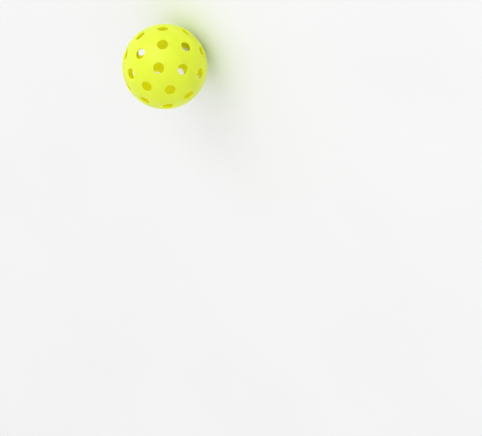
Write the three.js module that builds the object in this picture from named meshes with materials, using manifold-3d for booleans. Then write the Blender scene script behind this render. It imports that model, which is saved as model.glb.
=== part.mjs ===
// An outdoor pickleball: two identical half shells with twenty holes each, welded rim to rim.
//
// Units are millimetres. The origin is the ball's centre, +Z runs through the pole of the upper
// shell, and the weld seam is the ball's equator, in the plane Z = 0.
// Hole places are spherical: latitude up from the seam, longitude from +X towards +Y.

import * as THREE from "three";
import { mergeVertices } from "three/addons/utils/BufferGeometryUtils.js";
import Module from "manifold-3d";

const wasm = await Module();
wasm.setup();

// The ball, within the 73.0 to 75.5 mm that the game's equipment standard allows.
const BALL_DIAMETER = 74;
const WALL = 2.0;
const OUTER_R = BALL_DIAMETER / 2;
const INNER_R = OUTER_R - WALL;

// Radial holes. Each half shell has three rings of them, counted from the seam to the pole.
const HOLE_DIAMETER = 9.4;
const HOLE_RINGS = [
  { latitude: 12.2, count: 8, firstLongitude: 0 },
  { latitude: 38.6, count: 8, firstLongitude: 22.5 },
  { latitude: 68.6, count: 4, firstLongitude: 0 },
];

// The lower shell is the upper one turned over, and then turned so that its holes lie between
// the upper shell's holes along the seam.
const SEAM_STAGGER = 22.5;

// Beside the seam the wall is thicker on the inside, which gives the weld a wider face.
const LAND_EXTRA = 0.5;
const LAND_HEIGHT = 1.4;
const LAND_TAPER = 1.0;

// A 45 degree relief on each rim's inner edge takes the melt that the weld pushes out.
const RELIEF = 0.6;

// The rolled bead of melt that fills the relief and stands a little proud of the land.
const BEAD_PROUD = 0.7;
const BEAD_HALF_HEIGHT = 1.0;
const BEAD_CLEARANCE = 0.06;

// Facets of the round shapes.
const AROUND = 48;
const ROWS = 10;
const HOLE_SIDES = 16;
const BEAD_STEPS = 5;

const radians = THREE.MathUtils.degToRad;

// --- solids -----------------------------------------------------------------------------------

// A closed three.js geometry as a manifold-3d solid.
function toSolid(geometry) {
  const bare = geometry.clone();
  bare.deleteAttribute("normal");
  bare.deleteAttribute("uv");
  const merged = mergeVertices(bare, 1e-4);
  return new wasm.Manifold(
    new wasm.Mesh({
      numProp: 3,
      vertProperties: new Float32Array(merged.attributes.position.array),
      triVerts: new Uint32Array(merged.index.array),
    }),
  );
}

// A manifold-3d solid as a three.js geometry with flat facets.
function toGeometry(solid) {
  const mesh = solid.getMesh();
  const geometry = new THREE.BufferGeometry();
  geometry.setAttribute("position", new THREE.BufferAttribute(mesh.vertProperties, mesh.numProp));
  geometry.setIndex(new THREE.BufferAttribute(mesh.triVerts, 1));
  const flat = geometry.toNonIndexed();
  flat.computeVertexNormals();
  return flat;
}

// A profile of (radius, height) points turned about Z.
function turned(profile) {
  return new THREE.LatheGeometry(profile, AROUND).rotateX(Math.PI / 2);
}

// --- profiles ---------------------------------------------------------------------------------

// Points on an arc about the centre, from one latitude to another.
function arc(radius, fromLatitude, toLatitude, steps) {
  const points = [];
  for (let i = 0; i <= steps; i++) {
    const latitude = fromLatitude + ((toLatitude - fromLatitude) * i) / steps;
    points.push(new THREE.Vector2(radius * Math.cos(latitude), radius * Math.sin(latitude)));
  }
  return points;
}

// The section of a half shell: up the outside from the seam to the pole, and back down the inside.
function shellProfile() {
  const pole = Math.PI / 2;
  const landTop = LAND_HEIGHT + LAND_TAPER;
  const outside = arc(OUTER_R, 0, pole, ROWS);
  const inside = arc(INNER_R, pole, Math.asin(landTop / INNER_R), ROWS);
  outside[outside.length - 1].x = 0;
  inside[0].x = 0;
  const land = [
    new THREE.Vector2(INNER_R - LAND_EXTRA, LAND_HEIGHT),
    new THREE.Vector2(INNER_R - LAND_EXTRA, RELIEF),
    new THREE.Vector2(INNER_R - LAND_EXTRA + RELIEF, 0),
  ];
  // LatheGeometry's faces point out when the profile climbs the outside last.
  return [...inside, ...land, ...outside];
}

// The section of the weld bead: a wedge in the two reliefs, with a roll on either side of the
// seam on its inner side, and a shallow valley between the rolls.
function beadProfile() {
  const landR = INNER_R - LAND_EXTRA;
  const backR = landR - BEAD_CLEARANCE;
  const rollR = BEAD_HALF_HEIGHT / 2;
  const rolls = [];
  for (let i = 0; i < BEAD_STEPS; i++) {
    const turn = (Math.PI * i) / BEAD_STEPS;
    const inward = BEAD_PROUD * Math.sin(turn);
    rolls.push(new THREE.Vector2(backR - inward, rollR + rollR * Math.cos(turn)));
  }
  const neck = new THREE.Vector2(backR, RELIEF - BEAD_CLEARANCE);
  const upper = [neck, ...rolls];
  const lower = upper.map((point) => new THREE.Vector2(point.x, -point.y)).reverse();
  const valley = new THREE.Vector2(backR - BEAD_PROUD / 2, 0);
  const root = new THREE.Vector2(landR + RELIEF - 2 * BEAD_CLEARANCE, 0);
  return [root, ...upper, valley, ...lower, root.clone()];
}

// --- pieces -----------------------------------------------------------------------------------

// The cutter for one hole, a cylinder along the ball's radius at this latitude and longitude.
function holeCutter(latitude, longitude) {
  const radius = HOLE_DIAMETER / 2;
  const length = 3 * WALL;
  const middle = (OUTER_R + INNER_R) / 2;
  const cutter = new THREE.CylinderGeometry(radius, radius, length, HOLE_SIDES);
  cutter.rotateZ(-Math.PI / 2);
  cutter.translate(middle, 0, 0);
  cutter.rotateY(-radians(latitude));
  cutter.rotateZ(radians(longitude));
  return toSolid(cutter);
}

// One half shell, standing on its rim with its pole up.
function halfShell() {
  let shell = toSolid(turned(shellProfile()));
  for (const ring of HOLE_RINGS) {
    for (let i = 0; i < ring.count; i++) {
      const longitude = ring.firstLongitude + (360 / ring.count) * i;
      shell = shell.subtract(holeCutter(ring.latitude, longitude));
    }
  }
  return toGeometry(shell);
}

const shellPlastic = new THREE.MeshStandardMaterial({
  name: "shell_plastic",
  color: 0xddf032,
  roughness: 0.45,
  metalness: 0,
});

const beadPlastic = new THREE.MeshStandardMaterial({
  name: "bead_plastic",
  color: 0xd2e62a,
  roughness: 0.3,
  metalness: 0,
});

function piece(name, geometry, material) {
  const mesh = new THREE.Mesh(geometry, material);
  mesh.name = name;
  return mesh;
}

const shellGeometry = halfShell();
const upperShell = piece("upper_shell", shellGeometry, shellPlastic);
const lowerShell = piece("lower_shell", shellGeometry, shellPlastic);
lowerShell.rotation.set(Math.PI, 0, radians(SEAM_STAGGER), "ZXY");
const weldBead = piece("weld_bead", turned(beadProfile()), beadPlastic);

const ball = new THREE.Group();
ball.add(upperShell, lowerShell, weldBead);

export default ball;
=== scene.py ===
"""The looks of an outdoor pickleball: two perforated half shells and the weld bead inside them.

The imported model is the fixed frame. Each of its nodes is replaced by a fine mesh of the same size
in the same place. Units are metres. The ball's centre is the origin, its poles are on the Z axis
and the weld seam is its equator.
"""

import math

import bmesh
import bpy
from mathutils import Matrix, Vector
from mathutils.geometry import delaunay_2d_cdt


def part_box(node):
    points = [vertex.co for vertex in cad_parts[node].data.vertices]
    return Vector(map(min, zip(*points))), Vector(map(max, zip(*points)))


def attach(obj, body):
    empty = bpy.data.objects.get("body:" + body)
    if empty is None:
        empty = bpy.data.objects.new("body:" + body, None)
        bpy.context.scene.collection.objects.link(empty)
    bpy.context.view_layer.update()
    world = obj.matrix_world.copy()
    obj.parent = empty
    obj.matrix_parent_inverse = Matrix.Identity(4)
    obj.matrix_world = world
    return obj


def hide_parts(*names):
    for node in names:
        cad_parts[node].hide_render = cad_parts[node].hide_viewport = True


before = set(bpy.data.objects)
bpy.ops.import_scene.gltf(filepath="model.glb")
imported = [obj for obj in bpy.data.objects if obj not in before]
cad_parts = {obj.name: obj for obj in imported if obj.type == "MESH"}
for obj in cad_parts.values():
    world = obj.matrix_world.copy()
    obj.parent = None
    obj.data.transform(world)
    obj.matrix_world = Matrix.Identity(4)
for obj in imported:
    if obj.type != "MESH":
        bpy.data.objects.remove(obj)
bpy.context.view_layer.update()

MM = 0.001

# --- sizes ------------------------------------------------------------------------------------

OUTER_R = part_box("upper_shell")[1].z
FLOOR_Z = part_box("lower_shell")[0].z
WALL = 2.0 * MM
INNER_R = OUTER_R - WALL

# Each shell's rings of holes, from the seam to its pole: latitude, count, first longitude. The
# lower shell is turned over, and by the stagger. Angles are in degrees.
HOLE_R = 4.7 * MM
HOLE_RINGS = [(12.2, 8, 0.0), (38.6, 8, 22.5), (68.6, 4, 0.0)]
SEAM_STAGGER = 22.5

# The holes' edges are broken by a small round, larger on the outside.
OUTER_EDGE = 0.32 * MM
INNER_EDGE = 0.12 * MM

# The rim: a fine groove along the seam outside, and the land with its relief inside.
GROOVE_DEPTH = 0.05 * MM
GROOVE_HALF_WIDTH = 0.16 * MM
LAND_EXTRA = 0.5 * MM
LAND_HEIGHT = 1.4 * MM
LAND_TAPER = 1.0 * MM
LAND_TOP = LAND_HEIGHT + LAND_TAPER
LAND_R = INNER_R - LAND_EXTRA
RELIEF = 0.6 * MM

# The gate mark at each shell's pole: a shallow dish with the trimmed stub of the sprue in it.
# Each is flat over this share of its radius and rounds off from there.
GATE_DISH_R = 1.9 * MM
GATE_DISH_DEPTH = 0.12 * MM
GATE_DISH_FLAT = 0.45
GATE_STUB_R = 0.55 * MM
GATE_STUB_HEIGHT = 0.09 * MM
GATE_STUB_FLAT = 0.75

# The weld bead: a wedge in the reliefs, and two rolls of melt inside with a valley between them.
# The valley stands at this share of the rolls' height, and drifts this far off the seam.
BEAD_CLEARANCE = 0.06 * MM
BEAD_PROUD = 0.7 * MM
BEAD_ROLL_R = 0.5 * MM
BEAD_VALLEY = 0.45
BEAD_DRIFT = 0.06 * MM

# The rolls swell and lean a little on their way round, in waves given as (count, phase).
SWELL = 0.14
SWELL_WAVES = [(7, 0.4), (19, 2.1), (43, 1.3)]
LEAN = 0.1
LEAN_WAVES = [(5, 1.9), (13, 0.2), (31, 4.0)]

# Mesh density: points round a hole, a rim and the bead, and steps along a profile's stretches.
AROUND_HOLE = 64
AROUND_RIM = 288
AROUND_BEAD = 576
EDGE_STEPS = 6
BORE_STEPS = 4
GROOVE_STEPS = 3
ROLL_STEPS = 9

# The rings of points that carry the gate mark, how many more points each has than the last, and
# how far past the mark they reach.
GATE_RINGS = 20
GATE_RING_GROWTH = 6
GATE_MARGIN = 0.1 * MM

# The spacing of the points between the holes, and the share of it that they keep from any edge.
OUTER_SPACING = 0.95 * MM
INNER_SPACING = 1.5 * MM
LEAST_SPACING = 0.6
GOLDEN_ANGLE = math.pi * (3 - math.sqrt(5))

# Collars of points ease the edges into the rest: round each hole, as (margin, count), and beside
# the rim, as heights above the seam.
HOLE_COLLARS = [(0.35 * MM, 64), (0.95 * MM, 48)]
RIM_COLLARS = [0.5 * MM, 1.2 * MM]

# Points this close together in the flat projection count as one.
SAME_POINT = 1e-9

# Edges bent by more than this are shaded as sharp.
SHARP_ANGLE = math.radians(38)


# --- mesh building ----------------------------------------------------------------------------


class Skin:
    """The vertices and faces of one mesh, gathered row by row."""

    def __init__(self):
        self.points = []
        self.faces = []
        self.marks = []

    def row(self, points, mark=0.0):
        """Adds points that are on a hole's edge to this degree, which sets the painted edge
        highlight, and returns their numbers.
        """
        first = len(self.points)
        self.points.extend(points)
        self.marks.extend([mark] * len(points))
        return list(range(first, len(self.points)))

    def bridge(self, upper, lower):
        """Joins two closed rows of equal length by quads."""
        for i in range(len(upper)):
            j = (i + 1) % len(upper)
            self.faces.append((upper[i], upper[j], lower[j], lower[i]))

    def bridge_all(self, rows):
        for upper, lower in zip(rows, rows[1:]):
            self.bridge(upper, lower)

    def fill(self, openings, border, loose):
        """Fills a sphere's upper part from its border up, leaving each closed row in openings open.

        A stereographic projection keeps circles and the Delaunay property, so the triangles are
        as even on the sphere as they are on the plane.
        """
        opening_of = {n: k for k, row in enumerate(openings) for n in row}
        members = [*opening_of, *border, *loose]
        flat = []
        for n in members:
            p = self.points[n].normalized()
            flat.append(Vector((p.x / (1 + p.z), p.y / (1 + p.z))))
        _, _, faces, originals, _, _ = delaunay_2d_cdt(flat, [], [], 0, SAME_POINT)
        for face in faces:
            corners = [members[originals[i][0]] for i in face]
            # A triangle with all its corners on one opening lies across it, and is left out.
            owners = {opening_of.get(n, -1 - n) for n in corners}
            if len(owners) > 1:
                self.faces.append(tuple(corners))

    def to_object(self, name, place=None):
        mesh = bpy.data.meshes.new(name)
        mesh.from_pydata([tuple(p) for p in self.points], [], self.faces)
        work = bmesh.new()
        work.from_mesh(mesh)
        bmesh.ops.recalc_face_normals(work, faces=work.faces)
        if place is not None:
            bmesh.ops.transform(work, matrix=place, verts=work.verts)
        work.to_mesh(mesh)
        work.free()
        mesh.polygons.foreach_set("use_smooth", [True] * len(mesh.polygons))
        mesh.set_sharp_from_angle(angle=SHARP_ANGLE)
        # The hole_edge mark sets where the paler painted highlight goes along the holes' edges.
        mesh.attributes.new("hole_edge", "FLOAT", "POINT").data.foreach_set("value", self.marks)
        mesh.update()
        piece = bpy.data.objects.new(name, mesh)
        bpy.context.scene.collection.objects.link(piece)
        return piece


def direction(latitude, longitude):
    """The unit vector at a latitude and longitude in degrees."""
    up, turn = math.radians(latitude), math.radians(longitude)
    flat = math.cos(up)
    return Vector((flat * math.cos(turn), flat * math.sin(turn), math.sin(up)))


def circle(axis, radius, height, count):
    """Points round an axis through the origin, at this radius and height along it."""
    across = axis.orthogonal().normalized()
    other = axis.cross(across)
    points = []
    for i in range(count):
        turn = 2 * math.pi * i / count
        side = across * math.cos(turn) + other * math.sin(turn)
        points.append(axis * height + side * radius)
    return points


def on_sphere(sphere_r, radius):
    """The height at which a circle of this radius lies on a sphere."""
    return math.sqrt(sphere_r**2 - radius**2)


# --- half shell -------------------------------------------------------------------------------

POLE = Vector((0, 0, 1))


def hole_axes():
    """The directions of one shell's holes."""
    axes = []
    for latitude, count, first in HOLE_RINGS:
        for i in range(count):
            axes.append(direction(latitude, first + 360 * i / count))
    return axes


def arc(centre_r, centre_h, bend_r, first, last):
    """(radius, height) points of an arc about a centre, from one turn to another."""
    points = []
    for i in range(EDGE_STEPS + 1):
        turn = first + (last - first) * i / EDGE_STEPS
        points.append((centre_r + bend_r * math.cos(turn), centre_h + bend_r * math.sin(turn)))
    return points


def outer_edge():
    """The round between the outer surface and the bore, which touches both."""
    centre_r = HOLE_R + OUTER_EDGE
    centre_h = on_sphere(OUTER_R - OUTER_EDGE, centre_r)
    lean = math.atan2(centre_h, centre_r)
    return arc(centre_r, centre_h, OUTER_EDGE, lean, math.pi)


def inner_edge():
    """The round between the bore and the inner surface, which touches both."""
    centre_r = HOLE_R + INNER_EDGE
    centre_h = on_sphere(INNER_R + INNER_EDGE, centre_r)
    lean = math.atan2(centre_h, centre_r)
    return arc(centre_r, centre_h, INNER_EDGE, math.pi, math.pi + lean)


def hole_profile():
    """A hole's section as (radius, height) points, from the outer surface to the inner one."""
    outer, inner = outer_edge(), inner_edge()
    top, bottom = outer[-1][1], inner[0][1]
    bore = [(HOLE_R, top + (bottom - top) * k / BORE_STEPS) for k in range(1, BORE_STEPS)]
    return [*outer, *bore, *inner]


def rim_profile():
    """The rim's section as (radius, height) points, from the outer surface to the inner one."""
    points = []
    for k in range(GROOVE_STEPS + 1):
        share = k / GROOVE_STEPS
        height = GROOVE_HALF_WIDTH * (1 - share)
        points.append((on_sphere(OUTER_R, height) - GROOVE_DEPTH * share**2, height))
    points.append((LAND_R + RELIEF, 0.0))
    points.append((LAND_R, RELIEF))
    points.append((LAND_R, LAND_HEIGHT))
    points.append((on_sphere(INNER_R, LAND_TOP), LAND_TOP))
    return points


def smooth(value, low, high):
    """0 below low and 1 above high, with a soft step between."""
    t = min(max((value - low) / (high - low), 0.0), 1.0)
    return t * t * (3 - 2 * t)


def gate_relief(radius):
    """How far the gate mark lowers the outer surface at this distance from the pole."""
    dish = GATE_DISH_DEPTH * (1 - smooth(radius / GATE_DISH_R, GATE_DISH_FLAT, 1.0))
    stub = GATE_STUB_HEIGHT * (1 - smooth(radius / GATE_STUB_R, GATE_STUB_FLAT, 1.0))
    return dish - stub


def gate_points():
    """The points that carry the gate mark, in rings round the pole."""
    points = [POLE * (OUTER_R - gate_relief(0.0))]
    for k in range(1, GATE_RINGS + 1):
        radius = (GATE_DISH_R + GATE_MARGIN) * k / GATE_RINGS
        height = on_sphere(OUTER_R - gate_relief(radius), radius)
        points += circle(POLE, radius, height, min(GATE_RING_GROWTH * k, AROUND_HOLE))
    return points


def scattered(sphere_r, spacing, clear_of, above):
    """Evenly spread points on a sphere's upper part, clear of circles given as (axis, radius)."""
    least = LEAST_SPACING * spacing
    # The area that each point has in an even triangular pattern.
    area = spacing**2 * math.sqrt(3) / 2
    count = int(2 * math.pi * sphere_r**2 / area)
    guards = [(axis, math.cos((radius + least) / sphere_r)) for axis, radius in clear_of]
    points = []
    for i in range(count):
        height = 1 - (i + 0.5) / count
        if height * sphere_r < above + least:
            break
        flat = math.sqrt(1 - height**2)
        turn = GOLDEN_ANGLE * i
        way = Vector((flat * math.cos(turn), flat * math.sin(turn), height))
        if all(way.dot(axis) < guard for axis, guard in guards):
            points.append(way * sphere_r)
    return points


def outer_points(axes):
    """Points for the outer surface: collars round the holes and the rim, the gate and the rest."""
    points = []
    for axis in axes:
        for margin, count in HOLE_COLLARS:
            radius = HOLE_R + OUTER_EDGE + margin
            points += circle(axis, radius, on_sphere(OUTER_R, radius), count)
    for height in RIM_COLLARS:
        points += circle(POLE, on_sphere(OUTER_R, height), height, AROUND_RIM)
    points += gate_points()
    clear_of = [(axis, HOLE_R + OUTER_EDGE + HOLE_COLLARS[-1][0]) for axis in axes]
    clear_of.append((POLE, GATE_DISH_R + GATE_MARGIN))
    return points + scattered(OUTER_R, OUTER_SPACING, clear_of, RIM_COLLARS[-1])


def inner_points(axes):
    """Points for the inner surface between the holes and above the land."""
    clear_of = [(axis, HOLE_R + INNER_EDGE) for axis in axes]
    return scattered(INNER_R, INNER_SPACING, clear_of, LAND_TOP)


def hole_rows(skin, axis):
    """The rows of one hole's edges and bore, where the outer edge's middle is marked most for the
    painted highlight.
    """
    rows = []
    for k, (radius, height) in enumerate(hole_profile()):
        mark = math.sin(math.pi * (k + 1) / (EDGE_STEPS + 2)) if k <= EDGE_STEPS else 0.0
        rows.append(skin.row(circle(axis, radius, height, AROUND_HOLE), mark))
    skin.bridge_all(rows)
    return rows


def half_shell(name, place=None):
    """One half shell, standing on its rim with its pole up, and then put in its place."""
    skin = Skin()
    axes = hole_axes()
    holes = [hole_rows(skin, axis) for axis in axes]
    rim = [skin.row(circle(POLE, r, h, AROUND_RIM)) for r, h in rim_profile()]
    skin.bridge_all(rim)
    skin.fill([rows[0] for rows in holes], rim[0], skin.row(outer_points(axes)))
    skin.fill([rows[-1] for rows in holes], rim[-1], skin.row(inner_points(axes)))
    return skin.to_object(name, place)


# --- weld bead --------------------------------------------------------------------------------


def wander(turn, waves):
    """A smooth wander between -1 and 1 round the seam, from (count, phase) waves."""
    return sum(math.sin(count * turn + phase) for count, phase in waves) / len(waves)


def roll(back_r, proud, side):
    """The section of the bead's roll on one side of the seam, from its back to the valley."""
    points = []
    for k in range(ROLL_STEPS):
        bend = math.pi * k / ROLL_STEPS
        points.append((back_r - proud * math.sin(bend), side * BEAD_ROLL_R * (1 + math.cos(bend))))
    return points


def bead_section(turn):
    """The bead's section at this longitude, as (radius, height) points."""
    back_r = LAND_R - BEAD_CLEARANCE
    lean = wander(turn, LEAN_WAVES)
    proud = BEAD_PROUD * (1 - SWELL + SWELL * wander(turn, SWELL_WAVES))
    upper = roll(back_r, proud * (1 + LEAN * lean), 1)
    lower = roll(back_r, proud * (1 - LEAN * lean), -1)
    root = (LAND_R + RELIEF - 2 * BEAD_CLEARANCE, 0.0)
    neck = RELIEF - BEAD_CLEARANCE
    valley = (back_r - BEAD_VALLEY * proud, BEAD_DRIFT * lean)
    return [root, (back_r, neck), *upper, valley, *reversed(lower), (back_r, -neck)]


def weld_bead(name):
    """The rolled ring of melt inside the seam."""
    skin = Skin()
    rows = []
    for i in range(AROUND_BEAD):
        turn = 2 * math.pi * i / AROUND_BEAD
        across = Vector((math.cos(turn), math.sin(turn), 0))
        rows.append(skin.row([across * r + POLE * h for r, h in bead_section(turn)]))
    skin.bridge_all([*rows, rows[0]])
    return skin.to_object(name)


# --- materials --------------------------------------------------------------------------------

# The outer skin is greenish yellow. Inside, a brighter and deeper yellow is painted, a painted glow
# for the light that passes through the wall and bounces round inside, and along the holes' edges a
# paler colour is painted as a highlight. These are linear colours. The painted glow colour turns
# into the skin's between these shares of the wall, counted from the inside.
SKIN_COLOUR = (0.655, 0.88, 0.014, 1)
DEEP_PAINTED_GLOW_COLOUR = (0.94, 0.93, 0.008, 1)
EDGE_HIGHLIGHT_COLOUR = (0.80, 0.94, 0.10, 1)
MELT_COLOUR = (0.88, 0.88, 0.02, 1)
EDGE_HIGHLIGHT_STRENGTH = 0.35
SKIN_SPAN = (0.2, 0.88)

# Light travels this far in the plastic, blue light less. It can't be followed from one shell into
# the other, so it goes less and less deep over the last stretch before the seam, and the seam is
# painted a redder colour, painted light that stands in for what is lost there.
LIGHT_DEPTH = 10.0 * MM
LIGHT_DEPTH_AT_SEAM = 0.3 * MM
LIGHT_DEPTH_IN_BEAD = 1.0 * MM
LIGHT_SHARES = (1.0, 1.0, 0.2)
SEAM_FADE = 2.5 * MM
SEAM_PAINTED_LIGHT_COLOUR = (0.705, 0.885, 0.014, 1)
REFRACTION = 1.5

# The surface: faint clouds in its tone, patches of more and less sheen, and two sizes of bumps.
# The bead has ripples. Each noise is given as the size of its features and its detail.
CLOUDS = (14 * MM, 3)
CLOUD_TONES = (0.965, 1.0)
PATCHES = (5 * MM, 4)
PATCH_ROUGHNESS = (0.34, 0.48)
GRAIN = (0.35 * MM, 2)
GRAIN_DEPTH = 0.025 * MM
PEEL = (2.2 * MM, 1)
PEEL_DEPTH = 0.05 * MM
RIPPLES = (1.6 * MM, 3)
RIPPLE_DEPTH = 0.05 * MM
RIPPLE_ROUGHNESS = (0.22, 0.34)

# Nearly all of a noise texture's values lie between these.
NOISE_SPAN = (0.3, 0.7)


class Nodes:
    """A short way to write a material's node tree."""

    # The Mix node's sockets for colours, whose names others of its sockets share.
    MIX_INPUTS = (0, 6, 7)
    MIX_OUTPUT = 2

    def __init__(self, name):
        self.material = bpy.data.materials.new(name)
        self.material.use_nodes = True
        self.tree = self.material.node_tree
        self.shader = self.tree.nodes["Principled BSDF"]
        self.place = self.tree.nodes.new("ShaderNodeTexCoord").outputs["Object"]

    def set(self, socket, value):
        """Sets an input socket to a value, or links another node's output to it."""
        if isinstance(value, bpy.types.NodeSocket):
            self.tree.links.new(value, socket)
        else:
            socket.default_value = value

    def add(self, kind, inputs, **settings):
        """A node with these inputs and settings."""
        node = self.tree.nodes.new(kind)
        for key, value in settings.items():
            setattr(node, key, value)
        for key, value in inputs.items():
            self.set(node.inputs[key], value)
        return node

    def noise(self, size, detail):
        """Noise with features of this size in metres."""
        inputs = {"Vector": self.place, "Scale": 1 / size, "Detail": detail}
        return self.add("ShaderNodeTexNoise", inputs).outputs["Fac"]

    def between(self, value, span, to_span):
        """Maps one span of values to another, clamped."""
        keys = ("Value", "From Min", "From Max", "To Min", "To Max")
        inputs = dict(zip(keys, (value, *span, *to_span)))
        return self.add("ShaderNodeMapRange", inputs).outputs["Result"]

    def math(self, operation, *values):
        return self.add("ShaderNodeMath", dict(enumerate(values)), operation=operation).outputs[0]

    def mix(self, factor, a, b):
        """Mixes two colours."""
        inputs = dict(zip(self.MIX_INPUTS, (factor, a, b)))
        return self.add("ShaderNodeMix", inputs, data_type="RGBA").outputs[self.MIX_OUTPUT]

    def toned(self, colour, tone):
        """A colour made darker by this factor."""
        inputs = {"Color": colour, "Value": tone}
        return self.add("ShaderNodeHueSaturation", inputs).outputs["Color"]

    def bump(self, height, distance, under=None):
        """A normal from a height of 0 to 1 that spans this distance, on top of another bump."""
        inputs = {"Height": height, "Distance": distance}
        if under is not None:
            inputs["Normal"] = under
        return self.add("ShaderNodeBump", inputs).outputs["Normal"]

    def feed(self, **inputs):
        """Sets the shader's inputs, with _ for a space in their names."""
        for key, value in inputs.items():
            self.set(self.shader.inputs[key.replace("_", " ")], value)


def shell_plastic():
    """Satin moulded polyethylene in optic yellow."""
    nodes = Nodes("shell_plastic")
    radius = nodes.add("ShaderNodeVectorMath", {0: nodes.place}, operation="LENGTH").outputs["Value"]
    skin = nodes.between(radius, [INNER_R + share * WALL for share in SKIN_SPAN], (0, 1))
    height = nodes.add("ShaderNodeSeparateXYZ", {0: nodes.place}).outputs["Z"]
    near_seam = nodes.between(nodes.math("ABSOLUTE", height), (0, SEAM_FADE), (1, 0))
    edge = nodes.add("ShaderNodeAttribute", {}, attribute_name="hole_edge").outputs["Fac"]

    # Near the seam the skin is painted redder, painted light for what the shallow subsurface loses.
    colour = nodes.mix(near_seam, SKIN_COLOUR, SEAM_PAINTED_LIGHT_COLOUR)
    # Inside the wall the colour turns into the painted glow, which stands in for light through the
    # wall.
    colour = nodes.mix(skin, DEEP_PAINTED_GLOW_COLOUR, colour)
    # A paler painted highlight runs along the holes' outer edges.
    colour = nodes.mix(nodes.math("MULTIPLY", edge, EDGE_HIGHLIGHT_STRENGTH), colour, EDGE_HIGHLIGHT_COLOUR)
    clouds = nodes.between(nodes.noise(*CLOUDS), NOISE_SPAN, CLOUD_TONES)
    grain = nodes.bump(nodes.noise(*GRAIN), GRAIN_DEPTH)
    nodes.feed(
        Base_Color=nodes.toned(colour, clouds),
        Roughness=nodes.between(nodes.noise(*PATCHES), NOISE_SPAN, PATCH_ROUGHNESS),
        Normal=nodes.bump(nodes.noise(*PEEL), PEEL_DEPTH, grain),
        IOR=REFRACTION,
        Subsurface_Weight=1.0,
        Subsurface_Radius=LIGHT_SHARES,
        Subsurface_Scale=nodes.between(near_seam, (0, 1), (LIGHT_DEPTH, LIGHT_DEPTH_AT_SEAM)),
    )
    return nodes.material


def bead_plastic():
    """The same plastic where it has melted: glossier and rippled, its yellow mixed with the painted
    glow that stands in for light inside the ball.
    """
    nodes = Nodes("bead_plastic")
    ripple = nodes.noise(*RIPPLES)
    share = nodes.between(ripple, NOISE_SPAN, (0, 1))
    nodes.feed(
        Base_Color=nodes.mix(share, DEEP_PAINTED_GLOW_COLOUR, MELT_COLOUR),
        Roughness=nodes.between(ripple, NOISE_SPAN, RIPPLE_ROUGHNESS),
        Normal=nodes.bump(ripple, RIPPLE_DEPTH),
        IOR=REFRACTION,
        Subsurface_Weight=1.0,
        Subsurface_Radius=LIGHT_SHARES,
        Subsurface_Scale=LIGHT_DEPTH_IN_BEAD,
    )
    return nodes.material


def floor_material():
    """Pale matt card with the faintest unevenness."""
    nodes = Nodes("pale_floor")
    tone = nodes.between(nodes.noise(*FLOOR_CLOUDS), NOISE_SPAN, FLOOR_TONES)
    nodes.feed(
        Base_Color=nodes.toned(FLOOR_COLOUR, tone),
        Roughness=FLOOR_ROUGHNESS,
        Specular_IOR_Level=FLOOR_GLOSS,
    )
    return nodes.material


# --- stage ------------------------------------------------------------------------------------

# The photo's viewing angle in the ball's frame: the camera's azimuth, which is 0 when it looks
# along +Y, its elevation, and how far it is rolled about its own line of sight. In degrees.
AZIMUTH = 18.3
ELEVATION = 31.0
ROLL = -127.3

# A long lens, in millimetres, and the nearest and furthest that the camera sees. The frame's
# width at the ball's distance, and the ball's place in the frame.
LENS = 200.0
SENSOR = 36.0
NEAREST = 0.1
FURTHEST = 20.0
FRAME_WIDTH = 0.4186
BALL_RIGHT = -0.0662
BALL_UP = 0.1315
DISTANCE = FRAME_WIDTH * LENS / SENSOR

# The key light: its direction and distance from the ball, its width, and its power in watts.
KEY_FROM = Vector((0.88, -0.37, 0.29)).normalized()
KEY_DISTANCE = 2.4
KEY_SIZE = 2.0
KEY_POWER = 21.0

# The studio round the ball is brighter on the key light's side.
WORLD_BRIGHT = 1.22
WORLD_DIM = 0.84

FLOOR_RADIUS = 6.0
FLOOR_SIDES = 96
FLOOR_COLOUR = (0.81, 0.81, 0.81, 1)
FLOOR_CLOUDS = (0.2, 2)
FLOOR_TONES = (0.975, 1.0)
FLOOR_ROUGHNESS = 0.85
FLOOR_GLOSS = 0.2


def make_camera():
    """A camera at the photo's angle that sees the ball where the photo has it."""
    back = direction(ELEVATION, AZIMUTH - 90)
    upright = (-back).to_track_quat("-Z", "Y")
    rolled = upright @ Matrix.Rotation(math.radians(ROLL), 3, "Z").to_quaternion()
    sight = Vector((BALL_RIGHT, BALL_UP, -DISTANCE))
    data = bpy.data.cameras.new("camera")
    data.lens = LENS
    data.sensor_width = SENSOR
    data.clip_start = NEAREST
    data.clip_end = FURTHEST
    camera = bpy.data.objects.new("camera", data)
    camera.location = back * DISTANCE
    camera.rotation_mode = "QUATERNION"
    camera.rotation_quaternion = rolled @ sight.rotation_difference(Vector((0, 0, -1)))
    bpy.context.scene.collection.objects.link(camera)
    bpy.context.scene.camera = camera


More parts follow.
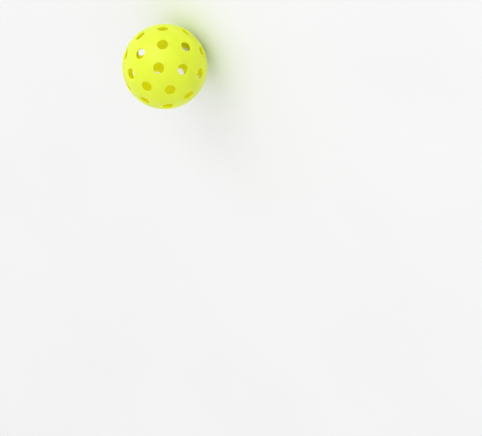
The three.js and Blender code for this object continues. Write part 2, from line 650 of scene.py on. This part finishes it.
def make_key_light():
    """A large round light that faces the ball."""
    data = bpy.data.lights.new("key", "AREA")
    data.shape = "DISK"
    data.size = KEY_SIZE
    data.energy = KEY_POWER
    light = bpy.data.objects.new("key", data)
    light.location = KEY_FROM * KEY_DISTANCE
    light.rotation_mode = "QUATERNION"
    light.rotation_quaternion = (-KEY_FROM).to_track_quat("-Z", "Y")
    bpy.context.scene.collection.objects.link(light)


def make_world():
    """White studio walls that fade evenly from the key light's side to the far side."""
    world = bpy.data.worlds.new("studio")
    world.use_nodes = True
    tree = world.node_tree
    way = tree.nodes.new("ShaderNodeTexCoord").outputs["Generated"]
    towards = tree.nodes.new("ShaderNodeVectorMath")
    towards.operation = "DOT_PRODUCT"
    towards.inputs[1].default_value = KEY_FROM
    fade = tree.nodes.new("ShaderNodeMapRange")
    fade.inputs["From Min"].default_value = -1
    fade.inputs["From Max"].default_value = 1
    fade.inputs["To Min"].default_value = WORLD_DIM
    fade.inputs["To Max"].default_value = WORLD_BRIGHT
    tree.links.new(way, towards.inputs[0])
    tree.links.new(towards.outputs["Value"], fade.inputs["Value"])
    tree.links.new(fade.outputs["Result"], tree.nodes["Background"].inputs["Strength"])
    tree.nodes["Background"].inputs["Color"].default_value = (1, 1, 1, 1)
    bpy.context.scene.world = world


def make_floor():
    """A wide disc under the ball."""
    mesh = bpy.data.meshes.new("floor")
    work = bmesh.new()
    bmesh.ops.create_circle(work, cap_ends=True, segments=FLOOR_SIDES, radius=FLOOR_RADIUS)
    bmesh.ops.translate(work, vec=(0, 0, FLOOR_Z), verts=work.verts)
    work.to_mesh(mesh)
    work.free()
    mesh.materials.append(floor_material())
    floor = bpy.data.objects.new("floor", mesh)
    bpy.context.scene.collection.objects.link(floor)


# --- the ball ---------------------------------------------------------------------------------


def put_in(piece, node, material):
    """Gives a piece its material, and lets it stand for a CAD node."""
    piece.data.materials.append(material)
    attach(piece, "root")
    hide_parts(node)


turned_over = Matrix.Rotation(math.radians(SEAM_STAGGER), 4, "Z") @ Matrix.Rotation(math.pi, 4, "X")
plastic = shell_plastic()
put_in(half_shell("upper_half"), "upper_shell", plastic)
put_in(half_shell("lower_half", turned_over), "lower_shell", plastic)
put_in(weld_bead("bead"), "weld_bead", bead_plastic())

make_floor()
make_world()
make_key_light()
make_camera()
bpy.context.scene.view_settings.view_transform = "Standard"
